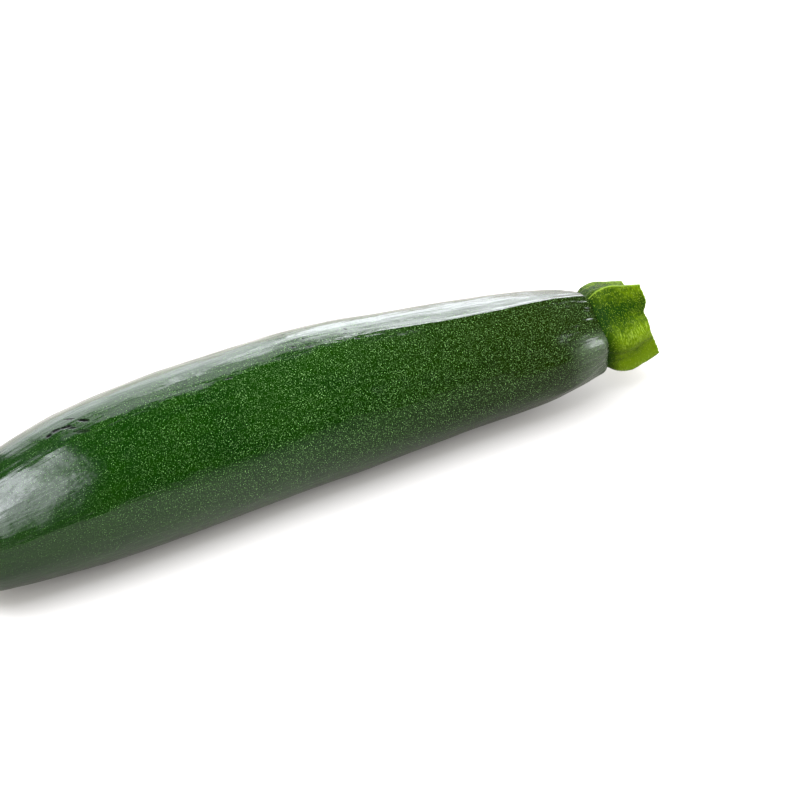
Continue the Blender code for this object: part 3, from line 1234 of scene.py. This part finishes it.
@dataclass(frozen=True)
class GreenStalk:
    """Fresh stalk tissue: juicy ribbed green, with yellow-green painted underneath as a painted glow and dark
    green painted by the fruit and in the top valleys as painted shade, and pale pith in the cut.

    Attributes:
        shade: The dark green, painted by the fruit and in the valleys on top as painted shade.
        glow: The yellow-green by the cut, and the painted glow underneath and on the ridges.
        pale_mark_and_highlight: The painted highlight on the upper ridges, the pale line along the cut's rim,
            and the scuffs on the ridges.
        speck: The pale hair bases.
        pith: The pale green of the cut face.
        pith_wet: Its glassier green where it is wetter.
        vessel: The dark dots of the vessels in it.
    """

    shade: str = "#0A2100"
    glow: str = "#435700"
    pale_mark_and_highlight: str = "#6D822C"
    speck: str = "#6F852A"
    pith: str = "#5B6541"
    pith_wet: str = "#4A5629"
    vessel: str = "#2F400C"
    length: float = StalkSkin.length
    bar_radius: float = StalkSkin.bar_radius
    roughness: float = 0.5
    specular: float = 0.03
    ior: float = 1.42

    # Juice lets light through, red and green much farther than blue
    subsurface: float = 0.3
    subsurface_radius: tuple[float, float, float] = (1.0, 1.2, 0.2)
    subsurface_scale: float = 1.2 * MM

    # Fibres, and the fine cross grain of the skin
    reliefs: tuple[Relief, ...] = (
        Relief((6 * MM, 0.6 * MM), 0.06 * MM, 2.0),
        Relief((0.45 * MM, 0.9 * MM), 0.05 * MM, 2.0),
    )

    # Where the painted shade by the fruit ends, and what each cause adds to the share of the yellow-green, at
    # its least and its most: more underneath as a painted glow, and on the ridges as painted light with
    # painted shade in the valleys
    seat_shade: tuple[float, float] = (-1 * MM, 4.5 * MM)
    out_glow: tuple[float, float] = (-0.04, 0.15)
    painted_underside_glow: float = 1.25
    painted_underside_glow_start: float = 0.87
    ridge_light_and_valley_shade: tuple[float, float] = (-0.16, 0.3)
    patch_size: float = 3.5 * MM
    patch_glow: tuple[float, float] = (-0.18, 0.22)
    grain_sizes: tuple[float, float] = (0.45 * MM, 0.9 * MM)
    grain_span: tuple[float, float] = (0.4, 0.7)
    grain_glow: tuple[float, float] = (-0.12, 0.27)

    # The specks, drawn wider than real hair bases so that they show
    speck_spacing: float = 0.5 * MM
    speck_edge: tuple[float, float] = (0.36, 0.1)
    speck_most: float = 0.4

    # The painted highlights, on the ridges where they are higher than this, and the pale line along the rim
    # of the cut
    ridge_highlight: tuple[float, float] = (0.996, 0.9997)
    highlight_height: tuple[float, float] = (3 * MM, 5 * MM)
    line_most: float = 0.5
    rim_width: float = 0.4 * MM

    # The scuffs, on the ridges away from the fruit and below the top ones
    scuff_sizes: tuple[float, float] = (0.4 * MM, 1.3 * MM)
    scuff_span: tuple[float, float] = (0.48, 0.68)
    scuff_most: float = 0.6
    scuff_crest: tuple[float, float] = (0.45, 0.9)
    scuff_start: tuple[float, float] = (1.5 * MM, 4 * MM)
    scuff_top: tuple[float, float] = (0.7, 0.4)

    # The wetter and drier patches of the pith
    pith_size: float = 1.6 * MM

    def material(self) -> bpy.types.Material:
        """Builds the stalk's material.

        Returns:
            The material, which reads the stalk's own coordinates, its ridges and the mask of the cut.
        """
        material, tree, shader = new_material("fresh_stalk")
        skin = add_node(tree, "ShaderNodeAttribute", {"attribute_name": SKIN}).outputs["Vector"]
        reach = add_node(tree, "ShaderNodeAttribute", {"attribute_name": REACH}).outputs["Fac"]
        crest = add_node(tree, "ShaderNodeAttribute", {"attribute_name": CREST}).outputs["Fac"]
        green = add_node(tree, "ShaderNodeMix", {
            "data_type": "RGBA", 6: linear(self.shade), 7: linear(self.glow),
        }, {0: self.glow_share(tree, skin, crest)}).outputs[2]
        cells = add_node(tree, "ShaderNodeTexVoronoi", {"Scale": 1 / self.speck_spacing}, {"Vector": skin})
        spot = add_node(tree, "ShaderNodeMapRange", {
            "interpolation_type": "SMOOTHSTEP",
            "From Min": self.speck_edge[0], "From Max": self.speck_edge[1], "To Max": self.speck_most,
        }, {"Value": cells.outputs["Distance"]}).outputs["Result"]
        specked = add_node(tree, "ShaderNodeMix", {
            "data_type": "RGBA", 7: linear(self.speck),
        }, {0: spot, 6: green}).outputs[2]
        lined = add_node(tree, "ShaderNodeMix", {
            "data_type": "RGBA", 7: linear(self.pale_mark_and_highlight),
        }, {0: self.pale_mark_and_highlight_share(tree, skin, crest), 6: specked}).outputs[2]
        wet = add_node(tree, "ShaderNodeTexNoise", {"Scale": 1 / self.pith_size, "Detail": 3.0},
                       {"Vector": skin}).outputs["Fac"]
        pith = add_node(tree, "ShaderNodeMix", {
            "data_type": "RGBA", 6: linear(self.pith), 7: linear(self.pith_wet),
        }, {0: wet}).outputs[2]
        cut = add_node(tree, "ShaderNodeMix", {
            "data_type": "RGBA", 7: linear(self.vessel),
        }, {0: crest, 6: pith}).outputs[2]
        coloured = add_node(tree, "ShaderNodeMix", {"data_type": "RGBA"},
                            {0: reach, 6: lined, 7: cut}).outputs[2]
        height = joined(tree, "ADD", [relief.height(tree, skin) for relief in self.reliefs])
        bump = add_node(tree, "ShaderNodeBump", {"Distance": 1.0}, {"Height": height})
        tree.links.new(coloured, shader.inputs["Base Color"])
        tree.links.new(bump.outputs["Normal"], shader.inputs["Normal"])
        shader.inputs["Roughness"].default_value = self.roughness
        shader.inputs["Specular IOR Level"].default_value = self.specular
        shader.inputs["IOR"].default_value = self.ior
        shader.inputs["Subsurface Weight"].default_value = self.subsurface
        shader.inputs["Subsurface Radius"].default_value = self.subsurface_radius
        shader.inputs["Subsurface Scale"].default_value = self.subsurface_scale
        return material

    def glow_share(
        self, tree: bpy.types.NodeTree, skin: bpy.types.NodeSocket, crest: bpy.types.NodeSocket
    ) -> bpy.types.NodeSocket:
        """Adds the change from dark green to yellow-green, with painted light and shade in it.

        Args:
            tree: The node tree.
            skin: The stalk's coordinates.
            crest: 1 on the ridges.

        Returns:
            The share of the yellow-green: more near the cut, painted more underneath and on the ridges,
            painted less in the valleys and by the fruit, in patches.
        """
        place = add_node(tree, "ShaderNodeSeparateXYZ", links={0: skin})
        out = add_node(tree, "ShaderNodeMapRange", {
            "From Max": self.length, "To Min": self.out_glow[0], "To Max": self.out_glow[1],
        }, {"Value": place.outputs["X"]}).outputs["Result"]
        # Painted glow: yellow-green underneath, stronger the lower the skin lies
        low = add_node(tree, "ShaderNodeMapRange", {
            "From Min": self.painted_underside_glow_start * self.bar_radius, "From Max": -self.bar_radius,
            "To Max": self.painted_underside_glow,
        }, {"Value": place.outputs["Z"]}).outputs["Result"]
        # Painted light on the ridges and painted shade in the valleys
        ridge = add_node(tree, "ShaderNodeMapRange", {
            "To Min": self.ridge_light_and_valley_shade[0], "To Max": self.ridge_light_and_valley_shade[1],
        }, {"Value": crest}).outputs["Result"]
        patch_noise = add_node(tree, "ShaderNodeTexNoise", {"Scale": 1 / self.patch_size, "Detail": 2.0},
                               {"Vector": skin}).outputs["Fac"]
        patch = add_node(tree, "ShaderNodeMapRange", {
            "From Min": NOISE_SPAN[0], "From Max": NOISE_SPAN[1],
            "To Min": self.patch_glow[0], "To Max": self.patch_glow[1],
        }, {"Value": patch_noise}).outputs["Result"]
        grain = add_node(tree, "ShaderNodeMapRange", {
            "From Min": self.grain_span[0], "From Max": self.grain_span[1],
            "To Min": self.grain_glow[0], "To Max": self.grain_glow[1],
        }, {"Value": drawn_out_noise(tree, skin, self.grain_sizes, 2.0)}).outputs["Result"]
        # Painted shade: dark green by the fruit
        off_seat = add_node(tree, "ShaderNodeMapRange", {
            "interpolation_type": "SMOOTHSTEP",
            "From Min": self.seat_shade[0], "From Max": self.seat_shade[1],
        }, {"Value": place.outputs["X"]}).outputs["Result"]
        return add_node(tree, "ShaderNodeMath", {"operation": "MULTIPLY"}, {
            0: joined(tree, "ADD", [out, low, ridge, patch, grain]), 1: off_seat,
        }).outputs[0]

    def pale_mark_and_highlight_share(
        self, tree: bpy.types.NodeTree, skin: bpy.types.NodeSocket, crest: bpy.types.NodeSocket
    ) -> bpy.types.NodeSocket:
        """Adds the painted highlights on the upper ridges, the pale line along the rim of the cut, and the
        scuffs.

        Args:
            tree: The node tree.
            skin: The stalk's coordinates.
            crest: 1 on the ridges.

        Returns:
            The share of the pale colour.
        """
        place = add_node(tree, "ShaderNodeSeparateXYZ", links={0: skin})
        # Painted highlight: a pale line on the crests, kept to the upper ridges, where light from above falls
        ridge = add_node(tree, "ShaderNodeMapRange", {
            "From Min": self.ridge_highlight[0], "From Max": self.ridge_highlight[1], "To Max": self.line_most,
        }, {"Value": crest}).outputs["Result"]
        upper = add_node(tree, "ShaderNodeMapRange", {
            "From Min": self.highlight_height[0], "From Max": self.highlight_height[1],
        }, {"Value": place.outputs["Z"]}).outputs["Result"]
        painted_ridge_highlight = add_node(tree, "ShaderNodeMath", {"operation": "MULTIPLY"},
                               {0: ridge, 1: upper}).outputs[0]
        rim = add_node(tree, "ShaderNodeMapRange", {
            "From Min": self.length - self.rim_width, "From Max": self.length, "To Max": self.line_most,
        }, {"Value": place.outputs["X"]}).outputs["Result"]
        scratch = add_node(tree, "ShaderNodeMapRange", {
            "From Min": self.scuff_span[0], "From Max": self.scuff_span[1], "To Max": self.scuff_most,
        }, {"Value": drawn_out_noise(tree, skin, self.scuff_sizes, 3.0)}).outputs["Result"]
        on_ridge = add_node(tree, "ShaderNodeMapRange", {
            "interpolation_type": "SMOOTHSTEP",
            "From Min": self.scuff_crest[0], "From Max": self.scuff_crest[1],
        }, {"Value": crest}).outputs["Result"]
        off_seat = add_node(tree, "ShaderNodeMapRange", {
            "From Min": self.scuff_start[0], "From Max": self.scuff_start[1],
        }, {"Value": place.outputs["X"]}).outputs["Result"]
        flank = add_node(tree, "ShaderNodeMapRange", {
            "From Min": self.scuff_top[0] * self.bar_radius, "From Max": self.scuff_top[1] * self.bar_radius,
        }, {"Value": place.outputs["Z"]}).outputs["Result"]
        scuff = joined(tree, "MULTIPLY", [scratch, on_ridge, off_seat, flank])
        return joined(tree, "MAXIMUM", [painted_ridge_highlight, rim, scuff])


@dataclass(frozen=True)
class PlantHair:
    """Stiff plant hair: clear, so it looks pale against the green."""

    colour: str = "#78882F"
    roughness: float = 0.45
    specular: float = 0.1

    def material(self) -> bpy.types.Material:
        """Builds the hairs' material."""
        material, _, shader = new_material("plant_hair")
        shader.inputs["Base Color"].default_value = linear(self.colour)
        shader.inputs["Roughness"].default_value = self.roughness
        shader.inputs["Specular IOR Level"].default_value = self.specular
        return material


@dataclass(frozen=True)
class Softbox:
    """A flat studio light that faces the courgette.

    Attributes:
        name: Its name.
        place: Its middle.
        aim: The point that it faces.
        size: Its width and height.
        radiance: How bright its face is, where 1 shows as white.
        soft: The shares of its width and height over which its face dims towards the edges.
        colour: Its colour, a cool white.
    """

    name: str
    place: tuple[float, float, float]
    aim: tuple[float, float, float]
    size: tuple[float, float]
    radiance: float
    soft: tuple[float, float] = (0.0, 0.0)
    colour: str = "#F5F7FF"

    def build(self) -> None:
        """Makes the light, turned to the courgette."""
        data = bpy.data.lights.new(self.name, "AREA")
        # A face of one square metre has a radiance of 1 at pi watts
        data.shape = "RECTANGLE"
        data.size, data.size_y = self.size
        data.energy = math.pi * self.size[0] * self.size[1] * self.radiance
        data.color = linear(self.colour)[:3]
        self.dim_edges(data)
        aimed(self.name, data, self.place, self.aim)

    def dim_edges(self, data: bpy.types.AreaLight) -> None:
        """Dims the light's face towards its edges, as the cloth of a softbox does.

        Args:
            data: The light.
        """
        data.use_nodes = True
        tree = data.node_tree
        face = add_node(tree, "ShaderNodeNewGeometry").outputs["Parametric"]
        place = add_node(tree, "ShaderNodeSeparateXYZ", links={0: face})
        shares = []
        for axis, soft in zip("XY", self.soft):
            if soft > 0:
                # 0 at both edges and 0.5 in the middle
                inwards = add_node(tree, "ShaderNodeMath", {"operation": "PINGPONG", 1: 0.5},
                                   {0: place.outputs[axis]}).outputs[0]
                shares.append(add_node(tree, "ShaderNodeMapRange", {
                    "interpolation_type": "SMOOTHSTEP", "From Max": soft / 2,
                }, {"Value": inwards}).outputs["Result"])
        if shares:
            tree.links.new(joined(tree, "MULTIPLY", shares), tree.nodes["Emission"].inputs["Strength"])


@dataclass(frozen=True)
class Studio:
    """The plain pale floor, the softboxes and the camera.

    Attributes:
        floor_size: The side of the floor.
        floor_colour: Its own colour.
        mirrored_colour: Its colour where the courgette mirrors it, behind the courgette.
        mirrored_front: The same in front of it.
        mirrored_painted_shade: The same in front of its stalk end, painted darker there as painted shade.
        mirrored_front_span: Where along Y the front begins and where it is full.
        painted_shade_right: Where along X the painted shade begins and where it is full.
        fill_colour: The colour of the room.
        fill: How bright the room is.
        glossy_fill: The same where it is mirrored.
        backdrop: The colour seen behind the floor.
        camera_place: Where the camera stands.
        camera_target: The point in the middle of its picture.
        lens: Its focal length in millimetres.
        softboxes: The lights.
    """

    floor_size: float = 3.4
    floor_colour: str = "#A3A2A1"
    mirrored_colour: str = "#94918F"
    mirrored_front: str = "#7B7977"
    mirrored_painted_shade: str = "#4A4947"
    mirrored_front_span: tuple[float, float] = (0.01, -0.03)
    painted_shade_right: tuple[float, float] = (-0.02, 0.05)
    fill_colour: str = "#FFFCF2"
    fill: float = 2.4
    glossy_fill: float = 0.01
    backdrop: str = "#FFFFFF"
    camera_place: tuple[float, float, float] = (-0.28744, -0.54814, 0.45719)
    camera_target: tuple[float, float, float] = (0.04022, 0.01939, -0.00167)
    lens: float = 124.1
    softboxes: tuple[Softbox, ...] = (
        Softbox("overhead_softbox", (-0.555, -0.185, 1.5), (-0.555, -0.185, 0), (0.91, 1.37), 16.5),
        Softbox("overhead_edge_softbox", (0.0, -0.185, 1.5), (0.0, -0.185, 0), (0.2, 1.37), 4.0),
        Softbox("back_softbox", (1.05, 0.71, 0.80), (0, 0, 0.02), (0.62, 0.75), 11.0),
        Softbox("back_wide_softbox", (0.815, 1.102, 0.56), (0, 0, 0.02), (0.74, 1.46), 6.3, (0.15, 1.0)),
        Softbox("back_low_softbox", (0.749, 1.297, 0.15), (0, 0, 0.02), (0.44, 0.5), 3.4, (0.4, 0.35)),
        Softbox("back_top_softbox", (0.39, 0.884, 1.169), (0, 0, 0.02), (0.62, 0.50), 2.6, (0.3, 0.3)),
        Softbox("back_left_softbox", (0.289, 1.421, 0.5), (0, 0, 0.02), (0.59, 1.2), 3.1, (0.0, 0.25)),
        Softbox("front_high_softbox", (-0.223, -0.851, 1.249), (-0.1, 0, 0.02), (0.85, 0.75), 5.7,
                (0.35, 0.35)),
        Softbox("front_low_softbox", (-0.309, -1.253, 0.826), (-0.1, 0, 0.02), (0.80, 0.98), 4.5,
                (0.3, 0.35)),
        Softbox("side_softbox", (1.18, -0.991, 0.48), (0.09, -0.01, 0.02), (0.52, 0.66), 9.5, (0.8, 0.5)),
    )

    def build(self) -> None:
        """Makes the floor, the lights, the surroundings and the camera."""
        self.floor()
        for softbox in self.softboxes:
            softbox.build()
        self.surroundings()
        self.camera()

    def floor(self) -> None:
        """Makes the floor, which is mirrored darker than it is, most of all in front of the stalk end, where
        shade is painted on it.
        """
        shape = bmesh.new()
        bmesh.ops.create_grid(shape, x_segments=1, y_segments=1, size=self.floor_size / 2)
        floor = finished("floor", shape)
        material, tree, shader = new_material("matt_paper")
        place = add_node(tree, "ShaderNodeTexCoord").outputs["Object"]
        axes = add_node(tree, "ShaderNodeSeparateXYZ", links={0: place})
        front = add_node(tree, "ShaderNodeMapRange", {
            "From Min": self.mirrored_front_span[0], "From Max": self.mirrored_front_span[1],
        }, {"Value": axes.outputs["Y"]}).outputs["Result"]
        right = add_node(tree, "ShaderNodeMapRange", {
            "From Min": self.painted_shade_right[0], "From Max": self.painted_shade_right[1],
        }, {"Value": axes.outputs["X"]}).outputs["Result"]
        in_front = add_node(tree, "ShaderNodeMix", {
            "data_type": "RGBA", 6: linear(self.mirrored_front), 7: linear(self.mirrored_painted_shade),
        }, {0: right}).outputs[2]
        mirrored = add_node(tree, "ShaderNodeMix", {
            "data_type": "RGBA", 6: linear(self.mirrored_colour),
        }, {0: front, 7: in_front}).outputs[2]
        ray = add_node(tree, "ShaderNodeLightPath")
        colour = add_node(tree, "ShaderNodeMix", {
            "data_type": "RGBA", 6: linear(self.floor_colour),
        }, {0: ray.outputs["Is Glossy Ray"], 7: mirrored}).outputs[2]
        tree.links.new(colour, shader.inputs["Base Color"])
        shader.inputs["Roughness"].default_value = 1.0
        shader.inputs["Specular IOR Level"].default_value = 0.0
        floor.data.materials.append(material)

    def surroundings(self) -> None:
        """Makes the room: a warm fill, dim where it is mirrored, and white behind the object."""
        world = bpy.data.worlds.new("studio")
        world.use_nodes = True
        tree = world.node_tree
        room = tree.nodes["Background"]
        room.inputs["Color"].default_value = linear(self.fill_colour)
        room.inputs["Strength"].default_value = self.fill
        mirrored = add_node(tree, "ShaderNodeBackground", {
            "Color": linear(self.fill_colour), "Strength": self.glossy_fill,
        })
        behind = add_node(tree, "ShaderNodeBackground", {"Color": linear(self.backdrop), "Strength": 1.0})
        ray = add_node(tree, "ShaderNodeLightPath")
        lit = add_node(tree, "ShaderNodeMixShader", links={
            0: ray.outputs["Is Glossy Ray"], 1: room.outputs[0], 2: mirrored.outputs[0],
        })
        both = add_node(tree, "ShaderNodeMixShader", links={
            0: ray.outputs["Is Camera Ray"], 1: lit.outputs[0], 2: behind.outputs[0],
        })
        tree.links.new(both.outputs[0], tree.nodes["World Output"].inputs["Surface"])
        bpy.context.scene.world = world
        bpy.context.scene.view_settings.view_transform = "Standard"

    def camera(self) -> None:
        """Makes the camera, at the photograph's angle to the courgette."""
        data = bpy.data.cameras.new("camera")
        data.lens = self.lens
        bpy.context.scene.camera = aimed("camera", data, self.camera_place, self.camera_target)


class Courgette:
    """The whole courgette: its rind, its stalk and the hairs of the stalk."""

    def __init__(self, growth: Growth) -> None:
        """Sets up the pieces on one growth.

        Args:
            growth: The shared centreline and ribs.
        """
        self.fruit = FruitSkin(growth)
        self.stalk = StalkSkin(growth)
        self.prickles = Prickles(self.stalk)
        self.pieces: dict[Slot, list[bpy.types.Object]] = {Slot.RIND: [], Slot.STALK: []}

    def build(self) -> None:
        """Makes the meshes, rides them on the body and lets them stand for the solids."""
        fruit = self.fruit.build()
        stalk = self.stalk.build()
        prickles = self.prickles.build()
        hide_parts("fruit")
        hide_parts("stalk")
        self.pieces[Slot.RIND].append(fruit)
        self.pieces[Slot.STALK] += [stalk, prickles]
        for slot, pieces in self.pieces.items():
            for piece in pieces:
                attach(piece, BODY)
                log.info("%s: %d faces", piece.name, len(piece.data.polygons))

    def dress(self) -> None:
        """Gives each piece its finish."""
        self.pieces[Slot.RIND][0].data.materials.append(WaxyRind().material())
        stalk, prickles = self.pieces[Slot.STALK]
        stalk.data.materials.append(GreenStalk().material())
        prickles.data.materials.append(PlantHair().material())


def main() -> None:
    """Builds the courgette and its studio."""
    logging.basicConfig(level=logging.INFO, format="%(name)s %(message)s")
    courgette = Courgette(Growth())
    courgette.build()
    courgette.dress()
    Studio().build()


if __name__ == "__main__":
    main()
